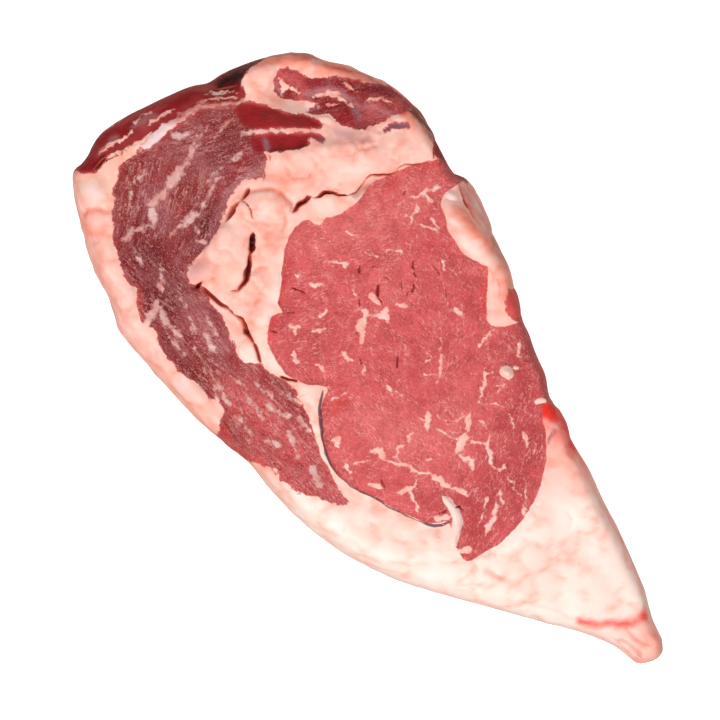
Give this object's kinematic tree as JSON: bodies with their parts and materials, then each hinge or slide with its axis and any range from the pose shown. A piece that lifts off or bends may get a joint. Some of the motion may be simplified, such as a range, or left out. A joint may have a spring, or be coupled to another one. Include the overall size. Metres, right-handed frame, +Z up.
{
  "type": "raw beef rib roast",
  "caption": "Thick boneless cut of raw beef rib with a round eye muscle, a cap muscle, white seam fat and a pointed fat tail, lying on its lower cut face.",
  "frame": {"origin": "on the resting face, under the middle of the roast's length and width", "axes": "+X along the roast from its head to the tip of the fat tail, +Z up out of the upper cut face, +Y towards the rib side"},
  "size_m": [0.2678, 0.1316, 0.0562],
  "materials": {
    "raw_beef": "moist raw meat and fat, satin with small highlights"
  },
  "bodies": {
    "root": {"rib_roast": "raw_beef"}
  },
  "joints": []
}
